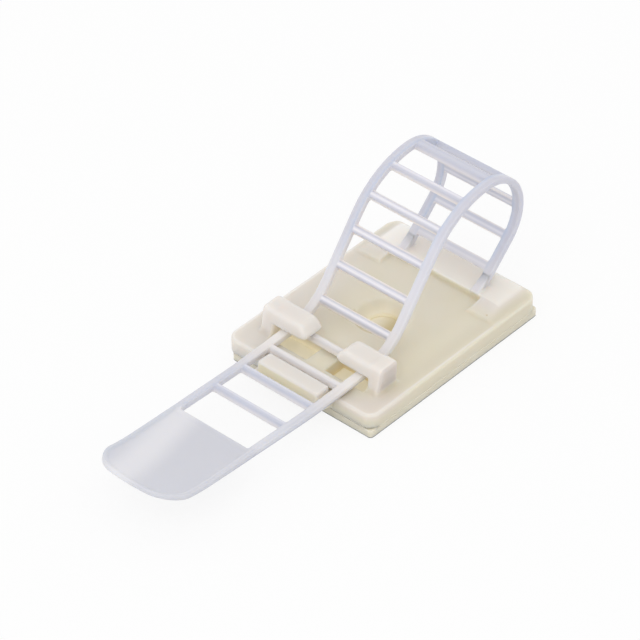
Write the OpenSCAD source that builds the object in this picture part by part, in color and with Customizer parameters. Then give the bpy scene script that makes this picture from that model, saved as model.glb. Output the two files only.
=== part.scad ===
// Cable tie mount: a flat nylon base with a screw hole and a foam pad under it, and a ladder strap moulded in
// one piece with the base. The strap rises from the back, loops over, passes under two hooks and is held by
// a catch at the front. Millimetres, +Z up, +X toward the strap's free end, origin under the middle of the pad.

/* [Base] */
// Length of the base along the strap
base_l = 25; // [24:0.5:32]
// Width of the base across the strap
base_w = 19; // [18.5:0.5:26]
// Thickness of the nylon plate
plate_t = 1.65; // [1.4:0.05:2.4]
// Radius of the plate's upright corners
corner_r = 1.3; // [0.6:0.1:2.5]
// Bevel round the plate's top rim
rim_bevel = 0.35; // [0.2:0.05:0.6]

/* [Foam pad] */
// Thickness of the foam pad
pad_t = 0.9; // [0.6:0.1:1.6]
// Width of the pad across the strap
pad_w = 18.1; // [16:0.1:18.3]
// How far the pad sits off the plate's middle line, toward +Y
pad_shift = 0.35; // [0:0.05:0.35]
// Radius of the pad's upright corners
pad_corner_r = 0.4; // [0.2:0.1:1.2]

/* [Screw hole] */
// Diameter of the plain hole
hole_d = 3.5; // [3:0.1:3.8]
// Diameter of the countersink at the top face
sink_d = 5.6; // [4.6:0.1:6]
// Length of the plain hole under the countersink
hole_land = 0.55; // [0.4:0.05:0.8]

/* [Strap] */
// Width of the strap over its two rails
strap_w = 10.8; // [10.4:0.1:11.3]
// Thickness of the strap
strap_t = 0.7; // [0.6:0.05:0.85]
// Width of each side rail
rail_w = 1; // [0.9:0.05:1.3]
// Width of one rung along the strap
rung_w = 1.05; // [0.9:0.05:1.3]
// Distance from one rung to the next, in front of the base
rung_pitch = 3.95; // [3.8:0.05:4.15]
// The same by the root, where the rungs stand a little closer
root_pitch = 3.6; // [3.4:0.05:3.8]
// Bevel along the upper edges of each rung
rung_bevel = 0.25; // [0.1:0.05:0.35]

/* [Loop] */
// Height of the loop's crown over the plate, at mid thickness
crown_h = 13.05; // [11.5:0.05:14.5]
// How far the crown lies behind the screw hole
crown_back = 9.65; // [8.5:0.05:10.5]
// Angle at which the strap leaves the base, leaning back, from the level
root_a = 44; // [38:1:48]
// Steepness of the front slope
slope_a = 52; // [48:0.5:55]
// Radius of the bend from the slope into the hooks
seat_r = 7.1; // [6:0.1:8]

/* [Tail] */
// Length of the solid grip past the last window
grip_l = 12.3; // [10:0.1:16]
// Length of the window next to the grip
end_window = 4.3; // [3:0.1:4.8]
// Narrowing of the strap from the hooks to the grip, each side
grip_taper = 0.15; // [0:0.05:0.3]
// Corner radius at the tip
tip_r = 3; // [2:0.1:3.8]
// How far the end of the grip runs out past its corners, as a gentle bow
tip_bow = 0.5; // [0.2:0.1:1]
// Angle at which the tail rises in front of the base
tail_a = 2.4; // [1:0.2:4]
// Length of the grip's end that curls up
curl_l = 6.2; // [4:0.2:8]
// Radius of that curl
curl_r = 20; // [16:1:40]
// Thickness of the grip at its tip
tip_t = 0.5; // [0.4:0.05:0.7]
// Height of the rim round the grip above its middle
rim_h = 0.12; // [0.08:0.02:0.2]

/* [Hooks] */
// Middle of the hooks along the base, in front of the screw hole
hook_x = 8.1; // [7.9:0.05:8.4]
// Length of each hook along the base at its foot
hook_l = 3.05; // [2.6:0.05:3.4]
// Thickness of the upright leg of each hook
leg_t = 1.5; // [1.2:0.1:1.7]
// Height of the hooks over the plate
hook_h = 2.6; // [2.5:0.05:3]
// Thickness of the hook's cap
cap_t = 1.45; // [1.2:0.05:1.5]
// Reach of the cap over the strap
cap_reach = 4.3; // [3.6:0.1:4.6]
// Clearance between the strap and each leg
leg_gap = 0.8; // [0.5:0.05:1]

/* [Catch] */
// How far the catch stands out in front of the base
catch_out = 1.55; // [1.2:0.05:1.7]
// Height of the catch over the plate
catch_h = 0.9; // [0.7:0.05:1.1]

/* [Land] */
// Height of the raised land at the back
land_h = 0.6; // [0.5:0.05:0.9]
// Length of the land where the strap grows out of it
land_l = 4.4; // [4:0.05:4.6]
// Extra length of the land's two side ears
ear_l = 2.5; // [1.5:0.1:2.8]

/* [Show] */
// Piece to show

/* [Hidden] */
plate_z = pad_t + plate_t;
front_x = base_l / 2;
seat_gap = 0.25;
seat_a = -1;
window_w = strap_w - 2 * rail_w;
leg_in = strap_w / 2 + leg_gap;
leg_out = leg_in + leg_t;
slot_x0 = hook_x - 1;
slot_x1 = hook_x + 1.8;
slot_y0 = 1.2;
land_x = -front_x + land_l;
catch_w = window_w - 1;
hold_back = 0.65;

// Corner points of a rectangle lx by ly about the origin with its corners rounded to radius r.
function rounded(lx, ly, r) = [
    for (k = [0:3], a = [0:15:90])
        let (sx = (k == 0 || k == 3) ? 1 : -1, sy = k < 2 ? 1 : -1)
            [sx * (lx / 2 - r) + r * cos(90 * k + a), sy * (ly / 2 - r) + r * sin(90 * k + a)]
];

// ---- the strap's path: straights and arcs that run on from one another in the side view (X, Z) ----
// Where a step of length s ends, from point p with heading a and bend k (1 / radius, minus for clockwise).
function turned(a, k, s) = a + k * s * 180 / PI;
function stepped(p, a, k, s) = k == 0
    ? p + s * [cos(a), sin(a)]
    : p + [sin(turned(a, k, s)) - sin(a), cos(a) - cos(turned(a, k, s))] / k;

// Two unknowns that solve  m * a + n * b = c  for the flat vectors a, b and c.
function solved(a, b, c) = let (det = a[0] * b[1] - a[1] * b[0])
    [(c[0] * b[1] - c[1] * b[0]) / det, (a[0] * c[1] - a[1] * c[0]) / det];

root_p = [land_x - 0.5, plate_z + 0.05];
crown_p = [-crown_back, plate_z + crown_h];
seat_p = [hook_x + 0.2, plate_z + seat_gap + strap_t / 2];

// Behind the crown: a straight from the root, then one arc up to level. Its length and radius follow.
head_root = 180 - root_a;
behind = solved([cos(head_root), sin(head_root)], [sin(head_root), 1 - cos(head_root)], crown_p - root_p);
len1 = behind[0];
back_r = behind[1];
arc1 = back_r * head_root * PI / 180;

// In front of it: one arc down to the slope, a straight, then the bend that lays the strap in its seat.
arc3 = seat_r * (slope_a + seat_a) * PI / 180;
bend3 = stepped([0, 0], -slope_a, 1 / seat_r, arc3);
front = solved([sin(slope_a), cos(slope_a) - 1], [cos(slope_a), -sin(slope_a)], seat_p - crown_p - bend3);
front_r = front[0];
len2 = front[1];
arc2 = front_r * slope_a * PI / 180;

// Tail: nearly level under the hooks and over the catch, a slight rise from there, and a tip that curls up.
tail_r = 60;
arc4 = tail_r * (tail_a - seat_a) * PI / 180;
len_seat = front_x + 1.6 - seat_p[0];
len_tail = rung_pitch * 2 - 1.6 - hold_back - arc4 + end_window + grip_l - curl_l;

steps = [
    [len1, 0],
    [arc1, -1 / back_r],
    [arc2, -1 / front_r],
    [len2, 0],
    [arc3, 1 / seat_r],
    [len_seat, 0],
    [arc4, 1 / tail_r],
    [len_tail, 0],
    [curl_l, 1 / curl_r]
];

// Start point, heading and distance run at the head of step i.
function head(i) = i == 0
    ? [root_p, head_root, 0]
    : let (h = head(i - 1), s = steps[i - 1])
        [stepped(h[0], h[1], s[1], s[0]), turned(h[1], s[1], s[0]), h[2] + s[0]];
heads = [for (i = [0:len(steps)]) head(i)];
run = heads[len(steps)][2];

// Point and heading at distance s along the path.
function which(s, i = 0) = (i + 1 >= len(steps) || s < heads[i + 1][2]) ? i : which(s, i + 1);
function at(s) = let (i = which(s), h = heads[i], k = steps[i][1], d = s - h[2])
    [stepped(h[0], h[1], k, d), turned(h[1], k, d)];
// The point a height n over (or under) the path at distance s; over means toward the outside of the loop.
function off(s, n) = let (q = at(s)) q[0] + n * [-sin(q[1]), cos(q[1])];

// Distances from s0 to s1 at which the side view needs a corner: step ends, and every 4 degrees round a bend.
function marks(s0, s1) = concat(
    [s0],
    [
        for (i = [0:len(steps) - 1])
            let (h0 = heads[i], h1 = heads[i + 1], m = max(1, ceil(abs(h1[1] - h0[1]) / 4)))
                for (j = [0:m - 1])
                    let (s = h0[2] + (h1[2] - h0[2]) * j / m)
                        if (s > s0 + 0.02 && s < s1 - 0.02) s
    ],
    [s1]
);
function reversed(v) = [for (i = [len(v) - 1:-1:0]) v[i]];

// Side view of a stretch of strap from s0 to s1 between heights n0 and n1, with its ends splayed by e on top.
function stretch(s0, s1, n0, n1, e = 0) = let (v = marks(s0, s1)) concat(
    [for (s = v) off(s, n0)],
    [for (s = reversed(v)) off(s0 - e + (s - s0) * (s1 - s0 + 2 * e) / (s1 - s0), n1)]
);

// Rungs are counted back from the one next to the grip, and the spacing eases from one pitch to the other.
grip_s = run - grip_l;
rung_s = grip_s - end_window - rung_w;
rungs = floor((rung_s - 1.8) * 2 / (rung_pitch + root_pitch)) + 1;
function rung_at(i) = rung_s - i * rung_pitch + i * i * (rung_pitch - root_pitch) / (rungs - 1) / 2;

// Extrudes a side view (X, Z) across the strap to width w about the middle line.
module across(w, y = 0) {
    translate([0, y + w / 2, 0])
        rotate([90, 0, 0])
            linear_extrude(w)
                children();
}

module plate() {
    intersection() {
        translate([0, 0, pad_t])
            linear_extrude(plate_t)
                polygon(rounded(base_l, base_w, corner_r));
        across(base_w + 2)
            polygon([
                [-base_l / 2, pad_t - 1],
                [base_l / 2, pad_t - 1],
                [base_l / 2, plate_z - rim_bevel],
                [base_l / 2 - rim_bevel, plate_z],
                [-base_l / 2 + rim_bevel, plate_z],
                [-base_l / 2, plate_z - rim_bevel]
            ]);
        rotate([90, 0, 90])
            translate([0, 0, -base_l / 2 - 1])
                linear_extrude(base_l + 2)
                    polygon([
                        [-base_w / 2, pad_t - 1],
                        [base_w / 2, pad_t - 1],
                        [base_w / 2, plate_z - rim_bevel],
                        [base_w / 2 - rim_bevel, plate_z],
                        [-base_w / 2 + rim_bevel, plate_z],
                        [-base_w / 2, plate_z - rim_bevel]
                    ]);
    }
}

module screw_hole() {
    translate([0, 0, pad_t - 0.5])
        cylinder(d = hole_d, h = plate_t + 1, $fn = 64);
    translate([0, 0, pad_t + hole_land])
        cylinder(d1 = hole_d, d2 = sink_d, h = plate_t - hole_land, $fn = 64);
    translate([0, 0, plate_z])
        cylinder(d = sink_d, h = 0.5, $fn = 64);
}

// The openings the mould needs under the hook caps.
module slots() {
    for (s = [-1, 1])
        translate([(slot_x0 + slot_x1) / 2, s * (slot_y0 + leg_in) / 2, pad_t + plate_t / 2])
            cube([slot_x1 - slot_x0, leg_in - slot_y0, plate_t + 1], center = true);
}

// The land across the back: long ears at the sides, shorter where the strap grows out of it.
module land() {
    ear_y = strap_w / 2;
    difference() {
        intersection() {
            translate([0, 0, pad_t])
                linear_extrude(plate_t + land_h)
                    polygon(rounded(base_l, base_w, corner_r));
            across(base_w)
                polygon([
                    [-base_l / 2, plate_z - rim_bevel],
                    [land_x + ear_l, plate_z - rim_bevel],
                    [land_x + ear_l, plate_z + land_h - 0.3],
                    [land_x + ear_l - 0.25, plate_z + land_h],
                    [-base_l / 2 + 0.6, plate_z + land_h],
                    [-base_l / 2, plate_z + land_h - 0.7]
                ]);
            rotate([90, 0, 90])
                translate([0, 0, -base_l / 2])
                    linear_extrude(base_l)
                        polygon([
                            [-base_w / 2 + 0.1, plate_z - rim_bevel],
                            [base_w / 2 - 0.1, plate_z - rim_bevel],
                            [base_w / 2 - 1.7, plate_z + land_h],
                            [-base_w / 2 + 1.7, plate_z + land_h]
                        ]);
        }
        translate([land_x, -ear_y, plate_z])
            cube([ear_l + 1, 2 * ear_y, land_h + 1]);
    }
}

// One hook: an upright leg leaning back at the front, and a cap that reaches over the strap with a bevelled nose.
module hook() {
    lean = 0.6;
    top = plate_z + hook_h;
    intersection() {
        translate([hook_x - hook_l / 2 - 1, 0, 0])
            rotate([90, 0, 90])
                linear_extrude(hook_l + 2)
                    polygon([
                        [leg_in, plate_z - 0.4],
                        [leg_out, plate_z - 0.4],
                        [leg_out, top - 0.25],
                        [leg_out - 0.25, top],
                        [leg_out - cap_reach - leg_t + 0.9, top],
                        [leg_out - cap_reach - leg_t, top - 0.9],
                        [leg_out - cap_reach - leg_t, top - cap_t + 0.2],
                        [leg_out - cap_reach - leg_t + 0.5, top - cap_t],
                        [leg_in, top - cap_t]
                    ]);
        translate([0, leg_out / 2, 0])
            across(leg_out + 2)
                polygon([
                    [hook_x - hook_l / 2, plate_z - 0.4],
                    [hook_x + hook_l / 2, plate_z - 0.4],
                    [hook_x + hook_l / 2, plate_z],
                    [hook_x + hook_l / 2 - lean, top - 0.15],
                    [hook_x + hook_l / 2 - lean - 0.15, top],
                    [hook_x - hook_l / 2 + 0.15, top],
                    [hook_x - hook_l / 2, top - 0.15]
                ]);
    }
}

// The catch stands up in front of the base and fills one window of the ladder.
module catch() {
    across(catch_w)
        polygon([
            [front_x - 0.6, pad_t + 0.15],
            [front_x, pad_t + 0.15],
            [front_x + catch_out, plate_z - 0.75],
            [front_x + catch_out, plate_z + catch_h - 0.15],
            [front_x + catch_out - 0.15, plate_z + catch_h],
            [front_x + 0.25, plate_z + catch_h],
            [front_x + 0.1, plate_z + catch_h - 0.15],
            [front_x + 0.1, plate_z - 0.45],
            [front_x - 0.6, plate_z - 0.45]
        ]);
}

// Outline of the strap from above: straight rails that narrow a little in front of the hooks, and a rounded tip.
module strap_plan() {
    tip_x = off(run, 0)[0];
    grip_x = off(grip_s, 0)[0];
    hw = strap_w / 2;
    tw = hw - grip_taper;
    lean = atan(2 * tip_bow / (tw - tip_r));
    corner = [tip_x - tip_bow - tip_r * cos(lean), tw - tip_r * sin(lean) - tip_r * (1 - sin(lean))];
    half = concat(
        [for (t = [0:0.25:0.75]) [tip_x - tip_bow * t * t, t * (tw - tip_r + tip_r * sin(lean))]],
        [for (k = [0:6]) corner + tip_r * [cos(lean + (90 - lean) * k / 6), sin(lean + (90 - lean) * k / 6)]],
        [[grip_x, tw], [hook_x, hw], [-base_l, hw]]
    );
    polygon(concat(half, [for (k = [len(half) - 1:-1:1]) [half[k][0], -half[k][1]]]));
}

module strap() {
    h = strap_t / 2;
    // side view: even thickness up to the grip, whose underside then draws in to the thin tip
    v = concat(marks(0, grip_s), marks(grip_s + 0.1, run));
    side = concat(
        [for (s = v) off(s, h)],
        [for (s = reversed(v)) off(s, -h + (strap_t - tip_t) * max(0, s - grip_s) / grip_l)]
    );
    difference() {
        intersection() {
            across(strap_w)
                polygon(side);
            linear_extrude(60)
                strap_plan();
        }
        // the window nearest the grip, then one behind each rung, back to the root
        across(window_w)
            polygon(stretch(grip_s - end_window, grip_s, -1, 1, rung_bevel));
        for (i = [0:rungs - 2])
            across(window_w)
                polygon(stretch(rung_at(i + 1) + rung_w, rung_at(i), -1, 1, rung_bevel));
        across(window_w)
            polygon(stretch(0.3, rung_at(rungs - 1), -1, 1, rung_bevel));
        // the shallow hollow in the grip
        across(window_w)
            polygon(stretch(grip_s + 1.2, run - 2, h - rim_h, 2));
    }
}

module tie_mount() {
    color([0.87, 0.85, 0.78])
        union() {
            difference() {
                union() {
                    plate();
                    land();
                }
                screw_hole();
                slots();
            }
            hook();
            mirror([0, 1, 0])
                hook();
            catch();
            strap();
        }
}

module adhesive_pad() {
    color([0.85, 0.81, 0.62])
        translate([0, pad_shift, 0])
            linear_extrude(pad_t)
                polygon(rounded(base_l, pad_w, pad_corner_r));
}

tie_mount();
adhesive_pad();
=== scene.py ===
"""A cable tie mount: a nylon base with hooks and a catch, its ladder strap, and the foam pad under it.

Sizes are in millimetres, and only a finished mesh is in metres. Left and right are as seen from the front,
where the catch is: +x points to the front and +y to the right."""
import math

import bpy
import numpy as np
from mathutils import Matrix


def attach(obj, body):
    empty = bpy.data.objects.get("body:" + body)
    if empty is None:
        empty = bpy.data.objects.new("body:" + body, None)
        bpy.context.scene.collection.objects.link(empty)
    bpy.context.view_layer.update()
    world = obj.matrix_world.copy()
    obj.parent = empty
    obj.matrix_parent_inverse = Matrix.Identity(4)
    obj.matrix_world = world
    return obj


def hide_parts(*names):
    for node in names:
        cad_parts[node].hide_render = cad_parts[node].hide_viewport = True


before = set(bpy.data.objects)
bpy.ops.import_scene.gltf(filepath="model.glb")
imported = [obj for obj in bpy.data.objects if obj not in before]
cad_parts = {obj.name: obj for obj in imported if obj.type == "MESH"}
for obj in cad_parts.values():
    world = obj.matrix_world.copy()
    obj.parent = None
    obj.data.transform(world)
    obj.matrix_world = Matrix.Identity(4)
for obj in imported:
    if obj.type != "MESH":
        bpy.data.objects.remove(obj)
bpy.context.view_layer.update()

import openvdb
from mathutils import Matrix

# ---- Base ------------------------------------------------------------------------------------------
# The flat part of the mount, in natural nylon, moulded in one shot with the strap. Its top carries a raised
# land at the back, two hooks near the front and a catch on the front edge. A screw hole and two mould
# openings go through it.
PLATE_L, PLATE_W, PLATE_LOW, PLATE_TOP = 25.0, 19.0, 0.9, 2.55
PLATE_CORNER, PLATE_RIM, PLATE_SEAM = 1.3, 0.2, 0.03
HOLE_R, SINK_R, SINK_LOW = 1.75, 2.8, 1.45
HOOK_X, HOOK_L, HOOK_TOP, HOOK_UNDER, HOOK_LEAN = 8.1, 3.05, 5.15, 3.7, 0.65
LEG_IN, LEG_OUT, CAP_IN, NOSE, LIP_L, LIP_H = 6.2, 7.7, 1.9, 0.9, 0.5, 0.3
SLOT_BACK, SLOT_FRONT, SLOT_IN = HOOK_X - 1, HOOK_X + 1.8, 1.2
CATCH_BACK, CATCH_X, CATCH_TOP, CATCH_LOW, CATCH_HALF = 12.2, 14.05, 3.45, 1.8, 3.9
LEDGE_IN, LEDGE_TOP, LEDGE_HALF, SLOPE_IN, SLOPE_UP = 0.6, 2.1, 4.5, 0.4, 0.12
LAND_X, LAND_TOP, LAND_HALF, LAND_FOOT, LAND_LOW, LAND_BEVEL = -8.1, 3.15, 7.8, 9.4, 2.2, 0.6
EAR_X, EAR_IN, EAR_FALL = -6.1, 5.8, 0.19
FOOT_X, FOOT_Z, FOOT_A, FOOT_L = -8.6, 2.6, math.radians(136), 2.6
FOOT_IN, FOOT_OUT, FOOT_T, TOE, TOE_L = 4.42, 5.38, 0.33, 0.65, 2.4
SUNK = 2.0  # the land and the hooks go down into the plate to this height


# In the shapes below, the last number given to least or most is the width of that fillet or rounded edge.
def least(a, b, k):
    """The lesser of two distances, with the crease between them filled over a width k."""
    h = np.clip(k - np.abs(a - b), 0, None) / k
    return np.minimum(a, b) - h * h * k / 4


def most(a, b, k):
    """The greater of two distances, with the edge between them rounded over a width k."""
    return -least(-a, -b, k)


def slab(u, low, high):
    """Distance to the space between two parallel planes: how far u lies outside low..high."""
    return np.maximum(low - u, u - high)


def corner(a, b):
    """Distance to a square corner, from the distances a and b past its two sides."""
    return np.hypot(np.maximum(a, 0), np.maximum(b, 0)) + np.minimum(np.maximum(a, b), 0)


def rounded_rectangle(u, v, half_u, half_v, r):
    """Distance in a plane to a rectangle with corners of radius r: that to one smaller by r, less r."""
    return corner(np.abs(u) - half_u + r, np.abs(v) - half_v + r) - r


def beyond(u, v, p, q):
    """Distance past the line from p to q in a plane, positive on the line's right hand."""
    du, dv = q[0] - p[0], q[1] - p[1]
    return ((u - p[0]) * dv - (v - p[1]) * du) / math.hypot(du, dv)


def plan(x, y):
    """Distance to the plate's outline from above, a rounded rectangle."""
    return rounded_rectangle(x, y, PLATE_L / 2, PLATE_W / 2, PLATE_CORNER)


def plate(x, y, z):
    """The outline from PLATE_LOW to PLATE_TOP, its top rim rounded by a quarter circle."""
    top = corner(plan(x, y) + PLATE_RIM, z - PLATE_TOP + PLATE_RIM) - PLATE_RIM
    return most(top, PLATE_LOW - z, PLATE_SEAM)


def land(x, y, z):
    """A low step across the back with sloping ends, whose front runs on, and down, as two ears."""
    front = np.maximum(x - EAR_X, least(x - LAND_X, EAR_IN - np.abs(y), 0.25))
    ends = beyond(np.abs(y), z, (LAND_FOOT, LAND_LOW), (LAND_HALF, LAND_TOP))
    back = beyond(x, z, (-PLATE_L / 2 + LAND_BEVEL, LAND_TOP), (-PLATE_L / 2, PLATE_TOP - 0.1))
    top = z - LAND_TOP + EAR_FALL * np.maximum(x - LAND_X, 0)
    block = most(most(front, top, 0.2), most(ends, back, 0.3), 0.3)
    return np.maximum(most(block, plan(x, y), 0.15), SUNK - z)


def hooks(x, y, z):
    """Two mirrored hooks: a leg that leans back at its front, and a cap whose nose is bevelled above."""
    w = np.abs(y)
    face = HOOK_X + HOOK_L / 2
    leg = most(slab(w, LEG_IN, LEG_OUT), z - HOOK_TOP, 0.45)
    nose = beyond(w, z, (CAP_IN + NOSE, HOOK_TOP), (CAP_IN, HOOK_TOP - NOSE))
    lip = beyond(w, z, (CAP_IN, HOOK_UNDER + LIP_H), (CAP_IN + LIP_L, HOOK_UNDER))
    bar = most(slab(w, CAP_IN, LEG_OUT), slab(z, HOOK_UNDER, HOOK_TOP), 0.35)
    cap = most(bar, most(nose, lip, 0.3), 0.3)
    front = beyond(x, z, (face, PLATE_TOP), (face - HOOK_LEAN, HOOK_TOP))
    sides = np.maximum(front, HOOK_X - HOOK_L / 2 - x)
    return np.maximum(most(least(leg, cap, 0.35), sides, 0.4), SUNK - z)


def catch(x, y, z):
    """A block that stands up in front of the plate on a short ledge, with a sloping underside."""
    under = beyond(x, z, (PLATE_L / 2 - SLOPE_IN, PLATE_LOW + SLOPE_UP), (CATCH_X, CATCH_LOW))
    tooth = most(most(slab(x, CATCH_BACK, CATCH_X), z - CATCH_TOP, 0.3), np.abs(y) - CATCH_HALF, 0.3)
    ledge = most(slab(x, PLATE_L / 2 - LEDGE_IN, CATCH_X), z - LEDGE_TOP, 0.1)
    ledge = most(ledge, np.abs(y) - LEDGE_HALF, 0.3)
    return most(least(tooth, ledge, 0.3), under, 0.3)


def openings(x, y, z):
    """The screw hole with its countersink, and the two slots that the mould leaves under the hooks."""
    r = np.hypot(x, y)
    slope = (SINK_R - HOLE_R) / (PLATE_TOP - SINK_LOW)
    sink = (r - HOLE_R - slope * (z - SINK_LOW)) / math.hypot(1, slope)
    slots = most(slab(x, SLOT_BACK, SLOT_FRONT), slab(np.abs(y), SLOT_IN, LEG_IN), 0.2)
    return np.minimum(np.minimum(r - HOLE_R, np.maximum(sink, SINK_LOW - z)), slots)


def feet(x, y, z):
    """The roots of the strap's rails, a hair thinner than the rails. Each spreads forward as a toe, by TOE
    times the share of TOE_L that is left along the foot, to the power 1.5."""
    s = (x - FOOT_X) * math.cos(FOOT_A) + (z - FOOT_Z) * math.sin(FOOT_A)
    n = (z - FOOT_Z) * math.cos(FOOT_A) - (x - FOOT_X) * math.sin(FOOT_A)
    toe = TOE * np.clip(1 - s / TOE_L, 0, 1) ** 1.5
    bar = most(slab(np.abs(y), FOOT_IN, FOOT_OUT), slab(n, -FOOT_T - toe, FOOT_T) * 0.9, 0.1)
    return most(bar, slab(s, 0, FOOT_L), 0.1)


def base(x, y, z):
    """Plate, land, feet, hooks and catch run together with small fillets, less the openings."""
    solid = least(plate(x, y, z), least(land(x, y, z), feet(x, y, z), 0.3), 0.35)
    solid = np.maximum(solid, plan(x, y))
    solid = most(solid, -openings(x, y, z), 0.18)
    return least(least(solid, hooks(x, y, z), 0.35), catch(x, y, z), 0.2)


def piece_of(name, points, faces, smooth):
    """A new object at the origin, whose mesh has those points, in metres, and faces."""
    mesh = bpy.data.meshes.new(name)
    mesh.from_pydata(points, [], faces)
    mesh.polygons.foreach_set("use_smooth", np.full(len(faces), smooth))
    mesh.update()
    piece = bpy.data.objects.new(name, mesh)
    bpy.context.collection.objects.link(piece)
    return piece


def skinned(name, solid, low, high, step, place=None):
    """A piece whose surface is where solid(x, y, z) is zero. It is read on a grid of cubes of side step,
    each corner slides along the slope of the distance until it lies on the surface, and place then moves it
    to where it belongs, in metres. The corners as they were before that come back with the piece."""
    x, y, z = (np.arange(a - 2 * step, b + 3 * step, step, dtype=np.float32) for a, b in zip(low, high))
    field = solid(*np.meshgrid(x, y, z, indexing="ij"))
    grid = openvdb.FloatGrid(4 * step)
    grid.copyFromArray(np.ascontiguousarray(field, dtype=np.float32))
    points, quads = grid.convertToQuads(isovalue=0.0)
    p = points.astype(float) * step + (x[0], y[0], z[0])
    for _ in range(2):
        here = solid(*p.T)
        slope = np.stack([(solid(*(p + d).T) - here) / 1e-3 for d in np.eye(3) * 1e-3], 1)
        p -= (here / np.maximum((slope * slope).sum(1), 0.25))[:, None] * slope
    placed = p * 0.001 if place is None else place(p)
    a, b, c = placed[quads[:, 0]], placed[quads[:, 1]], placed[quads[:, 2]]
    if np.einsum("ij,ij->", a, np.cross(b, c)) < 0:
        quads = quads[:, ::-1]
    return piece_of(name, placed, quads, True), p


def keep(piece, name, values):
    """Stores a number or a triple for each corner of the mesh, for its paint to read."""
    kind, field = ("FLOAT", "value") if values.ndim == 1 else ("FLOAT_VECTOR", "vector")
    attribute = piece.data.attributes.new(name, kind, "POINT")
    attribute.data.foreach_set(field, values.astype(np.float32).ravel())


class Wire:
    """A shader socket that can be added, multiplied and so on, each step becoming a Math node."""

    def __init__(self, socket, tree):
        self.socket = socket
        self.tree = tree

    def node(self, kind, settings=None, out=0, **inputs):
        """A node of that kind: its settings are set first, then each input, by its name or its number (i0,
        i1), to a value or a link."""
        node = self.tree.nodes.new(kind)
        for key, value in (settings or {}).items():
            if key == "stops":
                ramp = node.color_ramp
                while len(ramp.elements) < len(value):
                    ramp.elements.new(0.5)
                for stop, (at, colour) in zip(ramp.elements, value):
                    stop.position, stop.color = at, colour
            else:
                setattr(node, key, value)
        for key, value in inputs.items():
            numbered = key[0] == "i" and key[1:].isdigit()
            plug(node.inputs[int(key[1:]) if numbered else key.replace("_", " ")], value)
        return Wire(node.outputs[out], self.tree)

    def maths(self, operation, a, b=0.0):
        """A Math node that works on a, or on a and b."""
        return self.node("ShaderNodeMath", {"operation": operation}, i0=a, i1=b)

    def __add__(self, other):
        return self.maths("ADD", self, other)

    def __radd__(self, other):
        return self.maths("ADD", other, self)

    def __sub__(self, other):
        return self.maths("SUBTRACT", self, other)

    def __rsub__(self, other):
        return self.maths("SUBTRACT", other, self)

    def __mul__(self, other):
        return self.maths("MULTIPLY", self, other)

    def __rmul__(self, other):
        return self.maths("MULTIPLY", other, self)

    def __truediv__(self, other):
        return self.maths("DIVIDE", self, other)

    def absolute(self):
        """This without its sign."""
        return self.maths("ABSOLUTE", self)

    def root(self):
        """The square root of this."""
        return self.maths("SQRT", self)

    def clamped(self):
        """This held to 0..1."""
        return self.node("ShaderNodeClamp", i0=self)

    def ramp(self, low, high):
        """0 where this is at low, 1 where it is at high, smooth between; low may be the greater."""
        return self.node("ShaderNodeMapRange", {"interpolation_type": "SMOOTHSTEP"},
                         Value=self, From_Min=low, From_Max=high)

    def band(self, low, full, still, high):
        """1 where this is from full to still, smoothly down to 0 at low and at high."""
        return self.ramp(low, full) * self.ramp(high, still)

    def stops(self, *stops):
        """The colour that those stops, each a place from 0 to 1 and a colour, give for this."""
        return self.node("ShaderNodeValToRGB", {"stops": stops}, i0=self)

    def tint(self, a, b):
        """Colour a where this is 0, b where it is 1."""
        return self.node("ShaderNodeMix", {"data_type": "RGBA"}, out=2, i0=self, i6=a, i7=b)

    def parts(self):
        """The three parts of this vector."""
        return [self.node("ShaderNodeSeparateXYZ", out=part, Vector=self) for part in "XYZ"]

    def millimetres(self):
        """The three parts of this place, from metres to millimetres."""
        return self.node("ShaderNodeVectorMath", {"operation": "SCALE"}, Vector=self, Scale=1000.0).parts()

    def kept(self, name, out="Fac"):
        """What the mesh keeps under that name for each corner: a number, or as out Vector a triple."""
        return self.node("ShaderNodeAttribute", {"attribute_name": name}, out=out)

    def noise(self, scale, detail=3.0):
        """Cloudy noise around one half, with scale blots to the metre."""
        return self.node("ShaderNodeTexNoise", Vector=self, Scale=scale, Detail=detail)


def plug(socket, value):
    """Links a wire to a socket, or sets the socket to a plain value."""
    if isinstance(value, Wire):
        value.tree.links.new(value.socket, socket)
    else:
        socket.default_value = value


def finish(name):
    """A fresh material, its Principled shader and the Object coordinates of the piece that wears it."""
    material = bpy.data.materials.new(name)
    material.use_nodes = True
    tree = material.node_tree
    start = tree.nodes.new("ShaderNodeTexCoord")
    return material, tree.nodes["Principled BSDF"], Wire(start.outputs["Object"], tree)


def feed(shader, **inputs):
    """Links or sets the shader's sockets by name."""
    for key, value in inputs.items():
        plug(shader.inputs[key.replace("_", " ")], value)


def light(r, g, b):
    """A screen colour, 11 to 255 in each part, as linear light."""
    return tuple(((c / 255 + 0.055) / 1.055) ** 2.4 for c in (r, g, b)) + (1,)


base_piece, corners = skinned("base_moulding", base, (-12.6, -9.6, 0.8), (14.2, 9.6, 5.3), 0.125)
keep(base_piece, "inset", -plan(corners[:, 0], corners[:, 1]))

CREAM, BUTTER, PEARL = light(226, 221, 206), light(223, 217, 193), light(226, 221, 217)
RIM, HAZE, HOOK_WALL_SHADE = light(215, 209, 191), light(220, 215, 209), light(203, 196, 191)
MILK, CLOUD, LAVENDER = light(236, 232, 225), light(243, 240, 236), light(215, 212, 219)
GOLD, STRAW, ROSE = light(198, 182, 140), light(236, 231, 217), light(220, 212, 206)
UNLIT, PAINTED_GLOW = (0, 0, 0, 1), (0.24, 0.21, 0.14, 1)
SPECK_X, SPECK_Y = -6.5, 7.9
nylon, shader, where = finish("natural nylon")
x, y, z = where.millimetres()
across = y.absolute()
from_hole = (x * x + y * y).root()
inset = where.kept("inset")
above = z.ramp(PLATE_TOP - 0.25, PLATE_TOP - 0.05)
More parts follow.
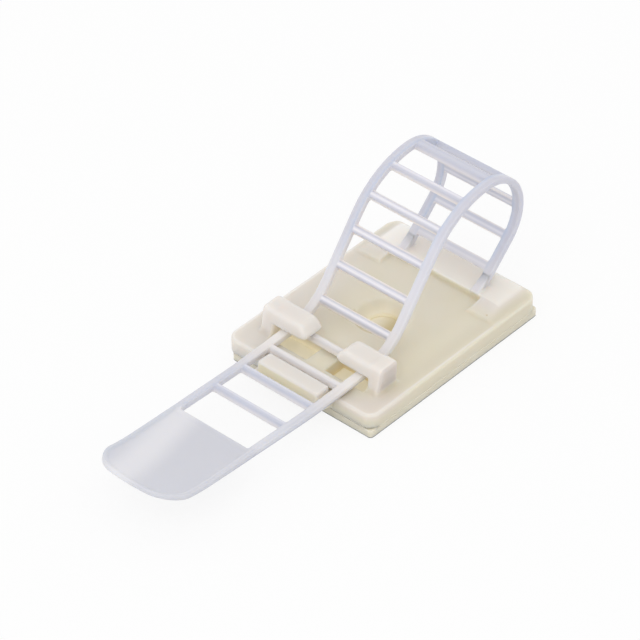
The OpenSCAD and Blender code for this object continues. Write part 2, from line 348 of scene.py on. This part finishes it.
# The plate is cream, clouded with yellow and greyer toward its left side. Painted shade browns its rim.
tone = (where.noise(110.0, 2.0).ramp(0.3, 0.7) * 0.6).tint(CREAM, BUTTER)
tone = (inset.ramp(2.6, 0.6) * 0.8).tint(tone, RIM)
tone = ((y * 0.1 - x * 0.03).ramp(-0.2, -1.0) * 0.9).tint(tone, HAZE)
# What stands up from it is paler, and painted light makes the land's top paler still, lifting the strap's
# shadow there, most on the left. Painted shade darkens the hooks' outer walls, the catch's top is a little
# greyer, and the toes of the strap's feet are bluish.
tone = (z.ramp(PLATE_TOP + 0.05, LAND_TOP + 0.05) * 0.9).tint(tone, PEARL)
hook_wall_shade = across.ramp(LEG_OUT - 0.2, LEG_OUT - 0.02) * z.ramp(PLATE_TOP + 0.15, PLATE_TOP + 0.65)
tone = (hook_wall_shade * x.ramp(4, 5)).tint(tone, HOOK_WALL_SHADE)
lit_land_top = z.ramp(LAND_TOP - 0.25, LAND_TOP - 0.05) * x.ramp(LAND_X + 0.1, LAND_X - 0.1)
tone = lit_land_top.tint(tone, y.ramp(-2, -7).tint(MILK, CLOUD))
catch_high = z.ramp(CATCH_TOP - 0.35, CATCH_TOP - 0.1)
tone = (x.ramp(CATCH_BACK - 0.2, CATCH_BACK) * catch_high * 0.6).tint(tone, HAZE)
toes = across.band(FOOT_IN - 0.12, FOOT_IN + 0.08, FOOT_OUT - 0.08, FOOT_OUT + 0.12)
toes = toes * z.ramp(FOOT_Z, FOOT_Z + 0.4) * x.band(FOOT_X - 1.9, FOOT_X - 0.9, FOOT_X + 0.4, FOOT_X + 0.8)
tone = (toes * 0.8).tint(tone, LAVENDER)
# Painted shade makes the catch's front face yellower, and the step down from the land between the ears.
tone = (x.ramp(CATCH_X - 0.15, CATCH_X - 0.05) * (1 - catch_high)).tint(tone, BUTTER)
step = z.band(PLATE_TOP - 0.1, PLATE_TOP + 0.05, LAND_TOP - 0.1, LAND_TOP - 0.01)
step = step * (x - LAND_X).absolute().ramp(0.5, 0.1) * across.ramp(EAR_IN - 0.1, EAR_IN - 0.4)
tone = (step * 0.7).tint(tone, BUTTER)
# The front right corner is rosier. A painted highlight runs as a pale line along the plate's rim, fading
# out at the back.
tone = ((x + y).ramp(15, 19) * z.ramp(1.6, 2.3) * 0.7).tint(tone, ROSE)
tone = (inset.band(0.12, 0.2, 0.3, 0.42) * above * x.ramp(-9, -4) * 0.7).tint(tone, PEARL)
# Painted light and shade, for light that has come through the nylon, colour the walls of the openings,
# more golden on the right. A golden painted shadow lies on the front edge of the countersink. A golden
# speck lies on the right ear.
deep = z.ramp(2.3, 0.8) * inset.ramp(1.0, 1.6)
tone = deep.tint(tone, y.ramp(-1.5, 1.8).tint(STRAW, GOLD))
sickle = from_hole.band(SINK_R - 0.18, SINK_R - 0.04, SINK_R + 0.12, SINK_R + 0.32)
sickle = sickle * (x - y * 0.35).ramp(1.8, 2.4) * z.ramp(PLATE_TOP - 0.35, PLATE_TOP - 0.05)
tone = (sickle * 0.7).tint(tone, GOLD)
off_x, off_y = x - SPECK_X, y - SPECK_Y
speck = (off_x * off_x + off_y * off_y).ramp(0.016, 0.004)
tone = (speck * 0.6).tint(tone, GOLD)
# Painted light: it also glows a little, as if lit through the nylon, in the openings, under the hooks' caps,
# and at the foot of the plate's edge.
hole = from_hole.ramp(HOLE_R + 0.45, HOLE_R + 0.25) * z.ramp(PLATE_LOW + 0.6, PLATE_LOW)
sheltered = x.band(HOOK_X - 1.9, HOOK_X - 1.3, HOOK_X + 1.7, HOOK_X + 2.3)
sheltered = sheltered * across.band(4.4, 5.0, LEG_IN + 0.1, LEG_IN + 0.2)
sheltered = sheltered * z.band(PLATE_TOP - 0.15, PLATE_TOP - 0.05, HOOK_UNDER, HOOK_UNDER + 0.1)
seam = z.ramp(PLATE_LOW + 0.12, PLATE_LOW + 0.02) * inset.ramp(0.12, 0.02)
painted_glow = (deep * 0.5 + hole * 0.15 + sheltered * 0.4 + seam * 0.4).clamped()
feed(shader,
     Base_Color=tone,
     Roughness=0.36 + (where.noise(900.0) - 0.5) * 0.12,
     Normal=where.node("ShaderNodeBump", Strength=0.06, Distance=0.00005, Height=where.noise(2500.0, 2.0)),
     Emission_Color=painted_glow.tint(UNLIT, PAINTED_GLOW), Emission_Strength=1.0,
     IOR=1.53, Subsurface_Weight=1.0, Subsurface_Radius=(0.0018, 0.0016, 0.0014), Subsurface_Scale=1.0)
base_piece.data.materials.append(nylon)
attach(base_piece, "root")

# ---- Ladder strap ----------------------------------------------------------------------------------
# The same nylon, moulded thin enough to pass light, so it looks whiter and cooler than the base. It grows
# out of the land, loops back over the cables, runs under the hooks and over the catch, and ends in a plain
# grip curled up a bit.
STRAP_HALF, STRAP_T, RAIL, RUNG, RUNG_BEVEL, PITCH, ROOT_PITCH = 5.4, 0.7, 1.0, 1.05, 0.27, 3.95, 3.6
RUNGS, AT_CROWN, FULLER = 14, 9, 0.5  # counted from the grip; the one at the crown is fuller toward the root
GRIP_L, GRIP_HALF, END_WINDOW, DISH, DISH_RIM, DISH_SLOPE = 12.3, 5.25, 4.3, 0.1, 0.35, 0.3
TIP_T, TIP_R, TIP_BOW, BOW_HALF = 0.5, 3.0, 0.5, 4.0
ROOT, CROWN, SEAT = np.array((-8.6, 2.6)), np.array((-9.65, 15.6)), np.array((8.3, 3.15))
ROOT_A, SLOPE_A, SEAT_R, SEAT_A = math.radians(136), math.radians(52), 7.1, math.radians(-1)
TAIL_A, TAIL_R, CURL_L, CURL_R = math.radians(2.4), 60.0, 6.2, 20.0
PAST_FRONT, HOLD_BACK = 1.6, 0.65


def arc(a0, a1, r):
    """How far an arc of radius r that turns the path from heading a0 to a1 moves it, and its length."""
    k = math.copysign(1 / r, a1 - a0)
    move = np.array((math.sin(a1) - math.sin(a0), math.cos(a0) - math.cos(a1))) / k
    return move, abs(a1 - a0) * r


def solved(u, v, w):
    """The lengths m and n for which m u + n v = w."""
    return np.linalg.solve(np.stack((u, v), 1), w)


# The radii on each side of the crown are what brings the path from the root over the crown to the seat.
straight_1, back_r = solved((math.cos(ROOT_A), math.sin(ROOT_A)), arc(ROOT_A, 0, 1.0)[0], CROWN - ROOT)
bend, bend_l = arc(-SLOPE_A, SEAT_A, SEAT_R)
slope = (math.cos(SLOPE_A), -math.sin(SLOPE_A))
front_r, straight_2 = solved(arc(0, -SLOPE_A, 1.0)[0], slope, SEAT - CROWN - bend)
tail_bend = (TAIL_A - SEAT_A) * TAIL_R
# Each stretch of the path is a length and a bend: one over the radius, positive where the path curls up.
stretches = np.array([
    (straight_1, 0),
    (back_r * ROOT_A, -1 / back_r),
    (front_r * SLOPE_A, -1 / front_r),
    (straight_2, 0),
    (bend_l, 1 / SEAT_R),
    (PLATE_L / 2 + PAST_FRONT - SEAT[0], 0),
    (tail_bend, 1 / TAIL_R),
    (PITCH * 2 - PAST_FRONT - HOLD_BACK - tail_bend + END_WINDOW + GRIP_L - CURL_L, 0),
    (CURL_L, 1 / CURL_R),
])
starts = np.concatenate(([0], np.cumsum(stretches[:, 0])))
STRAP_END = starts[-1]
GRIP_S, SEAT_S = STRAP_END - GRIP_L, starts[5]
RUNG_S = GRIP_S - END_WINDOW - RUNG


def summed(rates, step):
    """The running sum of a rate known at even steps: the mean of each two neighbours, times the step."""
    return np.concatenate(([0], np.cumsum((rates[1:] + rates[:-1]) / 2 * step)))


# The path is laid out once, finely: headings from the bends, then places from the headings.
path_s = np.linspace(0, STRAP_END, 6000)
bends = stretches[np.clip(np.searchsorted(starts, path_s, "right") - 1, 0, len(stretches) - 1), 1]
path_a = ROOT_A + summed(bends, path_s[1])
path_x = ROOT[0] + summed(np.cos(path_a), path_s[1])
path_z = ROOT[1] + summed(np.sin(path_a), path_s[1])


def rung_at(i):
    """Where rung i begins: the spacing eases from PITCH beside the grip to ROOT_PITCH beside the root."""
    return RUNG_S - i * PITCH + i * i * (PITCH - ROOT_PITCH) / (RUNGS - 1) / 2


def laid(p):
    """Straight strap (distance, across, height over its middle) laid along the path, in metres."""
    s = np.clip(p[:, 0], 0, STRAP_END)
    a, past = np.interp(s, path_s, path_a), p[:, 0] - s
    x = np.interp(s, path_s, path_x) - p[:, 2] * np.sin(a) + past * np.cos(a)
    z = np.interp(s, path_s, path_z) + p[:, 2] * np.cos(a) + past * np.sin(a)
    return np.stack((x, p[:, 1], z), 1) * 0.001


# The strap is shaped straight, by distance s along it, place y across it and height n over its middle.
def window(s, y, n, s0, s1):
    """One window from s0 to s1, whose ends slope so that the rungs beside it are narrower on top."""
    flare = RUNG_BEVEL * np.clip((n + 0.3) / 0.6, 0, 1)
    ends = np.abs(s - (s0 + s1) / 2) - (s1 - s0) / 2 - flare
    return most(ends * 0.9, np.abs(y) - STRAP_HALF + RAIL, 0.2)


def outline(s, y):
    """Distance to the outline: it narrows a little toward the grip, whose end is bowed and rounded."""
    half = STRAP_HALF - (STRAP_HALF - GRIP_HALF) * np.clip((s - SEAT_S) / (GRIP_S - SEAT_S), 0, 1)
    bow = TIP_BOW * np.minimum((y / BOW_HALF) ** 2, 1.5) * np.clip((s - GRIP_S) / GRIP_L * 2 - 1, 0, 1)
    long = 40  # over half the strap's length, so that its root end is cut by ladder alone
    return rounded_rectangle(s + bow - STRAP_END + long, y * STRAP_HALF / half, long, STRAP_HALF, TIP_R)


def ladder(s, y, n):
    """A thin bar, its grip dished inside a low rim, less a window between each pair of rungs."""
    grip = np.clip((s - GRIP_S) / GRIP_L, 0, 1)
    sides = outline(s, y)
    dish = DISH * np.clip((-sides - DISH_RIM) / DISH_SLOPE, 0, 1) * np.clip((s - GRIP_S - 0.3) / 0.6, 0, 1)
    low = -STRAP_T / 2 + (STRAP_T - TIP_T) * grip
    solid = most(sides, slab(n, low, STRAP_T / 2 - dish), 0.2)
    solid = np.maximum(solid, -s)
    cuts = window(s, y, n, GRIP_S - END_WINDOW, GRIP_S)
    for i in range(RUNGS - 1):
        fuller = FULLER if i == AT_CROWN else 0.0
        cuts = np.minimum(cuts, window(s, y, n, rung_at(i + 1) + RUNG, rung_at(i) - fuller))
    cuts = np.minimum(cuts, window(s, y, n, -1, rung_at(RUNGS - 1)))
    return most(solid, -cuts, 0.14)


strap, straight = skinned("ladder_strap", ladder, (0, -5.45, -0.4), (STRAP_END, 5.45, 0.4), 0.1, laid)
# Paint goes by where a point was on the straight strap, how far it is past the middle of the nearest rung,
# and how far inside the outline.
middles = np.array([rung_at(i) + RUNG / 2 for i in range(RUNGS)])
past = straight[:, :1] - middles
keep(strap, "straight", straight)
keep(strap, "past_rung", past[np.arange(len(past)), np.abs(past).argmin(1)])
keep(strap, "edge", -outline(straight[:, 0], straight[:, 1]))

PEACH, DOVE, LILAC = light(243, 234, 229), light(203, 203, 213), light(223, 220, 229)
SNOW, SLATE_BLUE, LINE = light(237, 235, 240), light(193, 197, 211), light(172, 175, 190)
ICE, ASH, STONE = light(193, 200, 217), light(206, 204, 212), light(203, 202, 210)
PEWTER, MIST, FROST = light(205, 205, 211), light(221, 220, 224), light(198, 201, 209)
RUNG_SHADE, BONE = light(194, 198, 212), light(216, 214, 220)
RUNG_SPAN = 1.2
clear_nylon, shader, where = finish("thin natural nylon")
s, y, n = where.kept("straight", "Vector").parts()
edge = where.kept("edge")
across = y.absolute()
# Painted light and shade along the strap: bluer at the back, lighter down the slope, warmer and brightest
# where the hooks shade it, and then greyer.
down = (s / STRAP_END).stops(
    (0.00, PEARL), (0.07, SLATE_BLUE), (0.30, light(199, 199, 209)), (0.345, light(205, 205, 214)),
    (0.39, light(218, 218, 225)), (0.50, light(219, 217, 221)), (0.56, light(221, 216, 213)),
    (0.61, light(240, 235, 231)), (0.66, light(221, 216, 214)), (0.72, light(206, 206, 213)),
    (0.80, light(212, 212, 218)))
# Painted highlights and shade on a rung, in bands: its upper bevel, two lines on its face, and its lower
# bevel.
rung = (where.kept("past_rung") / RUNG_SPAN + 0.5).stops(
    (0.0, PEACH), (0.13, PEACH), (0.22, DOVE), (0.32, LILAC), (0.44, SNOW), (0.54, LILAC), (0.62, DOVE),
    (0.76, DOVE), (0.88, PEACH))
# The painted bands are fainter at the back, at the crown and beside the hooks, and painted shade makes
# them bluer past the hooks.
crown = s.band(11.3, 12.3, 17, 19)
beside_hooks = s.band(37, 40, 46, 48)
rung = (0.1 + s.ramp(28, 20) * 0.2 + beside_hooks * 0.6 + crown * 0.6).tint(rung, down)
rung = (s.ramp(45, 48) * 0.45).tint(rung, RUNG_SHADE)
# Painted shade makes a rail bluer on its inner half, and a painted highlight runs as a faint pale line down
# its middle. Painted shade darkens the left rail from the crown down the slope, and again past the hooks.
outer = across.ramp(4.55, 5.05)
rail = (s.ramp(34, 24) * 0.7).tint(down, outer.tint(ICE, ASH))
left = y.ramp(2, -2) * (s.band(14, 18, 28, 34) + s.ramp(46, 50) * 0.7)
rail = (left * 0.8).tint(rail, outer.tint(SLATE_BLUE, STONE))
rail = (across.band(4.5, 4.75, 4.8, 5.05) * 0.15).tint(rail, SNOW)
# The grip is a dull grey, with a painted reflection: a lighter streak that runs slantwise to its end.
reflection_streak = (y + 3.6 - (s - GRIP_S - 1.0) * 0.21).absolute()
grip = reflection_streak.ramp(3.0, 0.3).tint(PEWTER, MIST)
grip = (y.ramp(-3.8, -4.8) * edge.ramp(1.1, 0.4) * 0.6).tint(grip, FROST)
grip = (edge.band(0.3, 0.45, 0.5, 0.7) * y.ramp(3, 4) * 0.2).tint(grip, SNOW)
tone = across.ramp(4.3, 4.5).tint(rung, rail)
tone = s.ramp(GRIP_S - 0.4, GRIP_S + 0.2).tint(tone, grip)
# From the hooks on, painted shade runs as a darker line along the lower half of the outline, and up the
# whole of its left side. The roots match the toes that they stand on.
low = (n.ramp(0, -0.2) + y.ramp(-4.9, -5) * s.ramp(STRAP_END - 1, STRAP_END - 3)).clamped()
tone = (edge.ramp(0.14, 0.02) * s.ramp(36, 46) * low * 0.7).tint(tone, LINE)
tone = s.ramp(4.5, 1.0).tint(tone, BONE)
feed(shader,
     Base_Color=tone,
     Roughness=0.32 + (where.noise(900.0) - 0.5) * 0.1,
     Normal=where.node("ShaderNodeBump", Strength=0.06, Distance=0.00005, Height=where.noise(2200.0, 2.0)),
     IOR=1.53, Subsurface_Weight=0.5, Subsurface_Radius=(0.0009, 0.0010, 0.0012), Subsurface_Scale=1.0)
strap.data.materials.append(clear_nylon)
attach(strap, "root")
# Base and strap are one moulding, so the two pieces stand for one node together.
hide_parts("tie_mount")

# ---- Foam pad --------------------------------------------------------------------------------------
# Double-sided foam tape with a pale liner below, die cut a little narrower than the plate. It is stuck to
# the plate's underside, flush with the plate's right side to a twentieth of a millimetre.
PAD_HALF_L, PAD_HALF_W, PAD_SHIFT, PAD_T, PAD_CORNER = 12.5, 9.1, 0.35, 0.9, 0.4


def pad_skin(around, up):
    """Across the underside, up the wall and across the top: a rounded rectangle drawn in by a share for each
    row. A ray at that angle meets a sharp rectangle, and near a corner the point is pulled in until it is
    PAD_CORNER from the corner's centre."""
    turn = 2 * math.pi * around
    reach = np.interp(up, (0, 0.2, 0.25, 0.8, 1), (0, 0.997, 1, 1, 0))
    wall = np.interp(up, (0.2, 0.25, 0.5, 0.75, 0.8), (0, 0.06, 0.5, 0.94, 1))
    c, s = np.cos(turn), np.sin(turn)
    fit = 1 / np.maximum(np.abs(c) / PAD_HALF_L, np.abs(s) / PAD_HALF_W)
    x, y = c * fit, s * fit
    inner_l, inner_w = PAD_HALF_L - PAD_CORNER, PAD_HALF_W - PAD_CORNER
    centre_x, centre_y = np.clip(x, -inner_l, inner_l), np.clip(y, -inner_w, inner_w)
    over = np.hypot(x - centre_x, y - centre_y)
    pull = np.minimum(1, PAD_CORNER / np.maximum(over, 1e-9))
    x, y = centre_x + (x - centre_x) * pull, centre_y + (y - centre_y) * pull
    return np.stack((x * reach, y * reach + PAD_SHIFT, wall * PAD_T), -1) * 0.001


rows, columns = np.array((0, 0.1, 0.2, 0.25, 0.4, 0.6, 0.75, 0.8, 0.9, 1)), 720
u, v = np.meshgrid(np.arange(columns) / columns, rows)
i, j = np.meshgrid(np.arange(columns), np.arange(len(rows) - 1))
k = (i + 1) % columns
quads = np.stack((j * columns + i, j * columns + k, (j + 1) * columns + k, (j + 1) * columns + i), -1)
pad = piece_of("foam_pad", pad_skin(u, v).reshape(-1, 3), quads.reshape(-1, 4), False)

SAND, WHEAT, SLATE = light(226, 218, 198), light(222, 211, 184), light(120, 126, 124)
LINER, OAT = light(232, 228, 218), light(219, 211, 189)
VANILLA, AMBER = light(230, 223, 205), light(194, 177, 130)
PAD_PAINTED_GLOW = (0.26, 0.245, 0.19, 1)
foam, shader, where = finish("closed-cell foam")
x, y, z = where.millimetres()
cells = where.node("ShaderNodeTexVoronoi", Vector=where, Scale=5500.0)
# The foam's cells mottle it, a painted shadow darkens the walls to a dark edge at the bottom, and the
# underside is pale.
tone = (cells.ramp(0.1, 0.7) * 0.25).tint(SAND, WHEAT)
wall = (x.absolute().ramp(PAD_HALF_L - 0.2, PAD_HALF_L - 0.1)
        + (y - PAD_SHIFT).absolute().ramp(PAD_HALF_W - 0.2, PAD_HALF_W - 0.1)).clamped()
tone = (z.ramp(0.16, 0.08) * wall).tint(tone, SLATE)
tone = (z.ramp(0.05, 0.0) * (1 - wall)).tint(tone, LINER)
# Its top is seen through the plate's openings, with painted light: a glow, as if lit through the plate. At
# the bottom of the screw hole it is paler on the left, golden with painted shade on the right, and dimmer.
within = x.absolute().ramp(11.5, 11.0) * z.ramp(PAD_T - 0.04, PAD_T - 0.01)
far = x * x + y * y
under_hole = far.ramp(6, 4)
tone = within.tint(tone, under_hole.tint(OAT, y.ramp(-1.6, 0.9).tint(VANILLA, AMBER)))
painted_glow = within * (1 - under_hole * (0.65 - far.ramp(1.2, 3.2) * 0.25))
feed(shader,
     Base_Color=tone,
     Roughness=0.8,
     Normal=where.node("ShaderNodeBump", Strength=0.12, Distance=0.00004, Height=cells),
     Emission_Color=painted_glow.tint(UNLIT, PAD_PAINTED_GLOW), Emission_Strength=1.0,
     Subsurface_Weight=0.8, Subsurface_Radius=(0.0015, 0.0014, 0.0012), Subsurface_Scale=1.0)
pad.data.materials.append(foam)
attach(pad, "root")
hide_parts("adhesive_pad")

# ---- Floor, light and camera -----------------------------------------------------------------------
# A plain white paper floor, 6 m square, under soft and even light from all round. A broad lamp on the side
# of the strap's free end gives the shadows, and the camera looks down at the mount's front and side.
floor = piece_of("floor", [(-3, -3, 0), (3, -3, 0), (3, 3, 0), (-3, 3, 0)], [(0, 1, 2, 3)], False)
paper, shader, where = finish("white paper")
feed(shader, Base_Color=(0.9, 0.9, 0.9, 1), Roughness=0.9, Specular_IOR_Level=0.0)
white = where.node("ShaderNodeEmission", Color=(1, 1, 1, 1), Strength=1.0)
# Seen straight, reflected or through clear matter it is nearly plain white, with a part of the shadow.
from_camera = where.node("ShaderNodeLightPath", out="Is Camera Ray")
from_gloss = where.node("ShaderNodeLightPath", out="Is Glossy Ray")
from_clear = where.node("ShaderNodeLightPath", out="Is Transmission Ray")
seen = (from_camera + from_gloss + from_clear).clamped()
plain = Wire(shader.outputs[0], where.tree)
blend = where.node("ShaderNodeMixShader", i0=seen * 0.85, i1=plain, i2=white)
plug(where.tree.nodes["Material Output"].inputs["Surface"], blend)
floor.data.materials.append(paper)

world = bpy.data.worlds.new("studio")
world.use_nodes = True
feed(world.node_tree.nodes["Background"], Color=(1, 1, 1, 1), Strength=0.93)
bpy.context.scene.world = world


def bearings(azimuth, elevation):
    """The directions right, up and back of a thing that looks at the mount from there, held level."""
    a, e = math.radians(azimuth), math.radians(elevation)
    back = np.array((math.cos(e) * math.cos(a), math.cos(e) * math.sin(a), math.sin(e)))
    right = np.cross((0, 0, 1), back)
    right /= np.linalg.norm(right)
    return right, np.cross(back, right), back


def set_up(name, data, right, up, back, place):
    """A lamp or camera with that data, turned to those directions at that place."""
    item = bpy.data.objects.new(name, data)
    turn = np.eye(4)
    turn[:3] = np.stack((right, up, back, place), 1)
    item.matrix_world = Matrix(turn.tolist())
    bpy.context.collection.objects.link(item)
    return item


KEY_AWAY = 0.6
key = bpy.data.lights.new("key", "AREA")
key.shape, key.size, key.energy = "SQUARE", 0.4, 0.5
right, up, back = bearings(15, 50)
set_up("key", key, right, up, back, back * KEY_AWAY)

# A long lens, aimed a little off the mount's middle and rolled by less than a degree.
AIM_RIGHT, AIM_UP, AWAY, ROLL = -0.0061941, 0.0016180, 0.398947, math.radians(-0.851)
right, up, back = bearings(42.503, 39.432)
stand = right * AIM_RIGHT + up * AIM_UP + back * AWAY
rolled_right = right * math.cos(ROLL) + up * math.sin(ROLL)
rolled_up = up * math.cos(ROLL) - right * math.sin(ROLL)
camera = set_up("camera", bpy.data.cameras.new("camera"), rolled_right, rolled_up, back, stand)
camera.data.lens, camera.data.sensor_width = 226.9746, 36
camera.data.clip_start, camera.data.clip_end = 0.01, 20
bpy.context.scene.camera = camera
bpy.context.scene.view_settings.view_transform = "Standard"
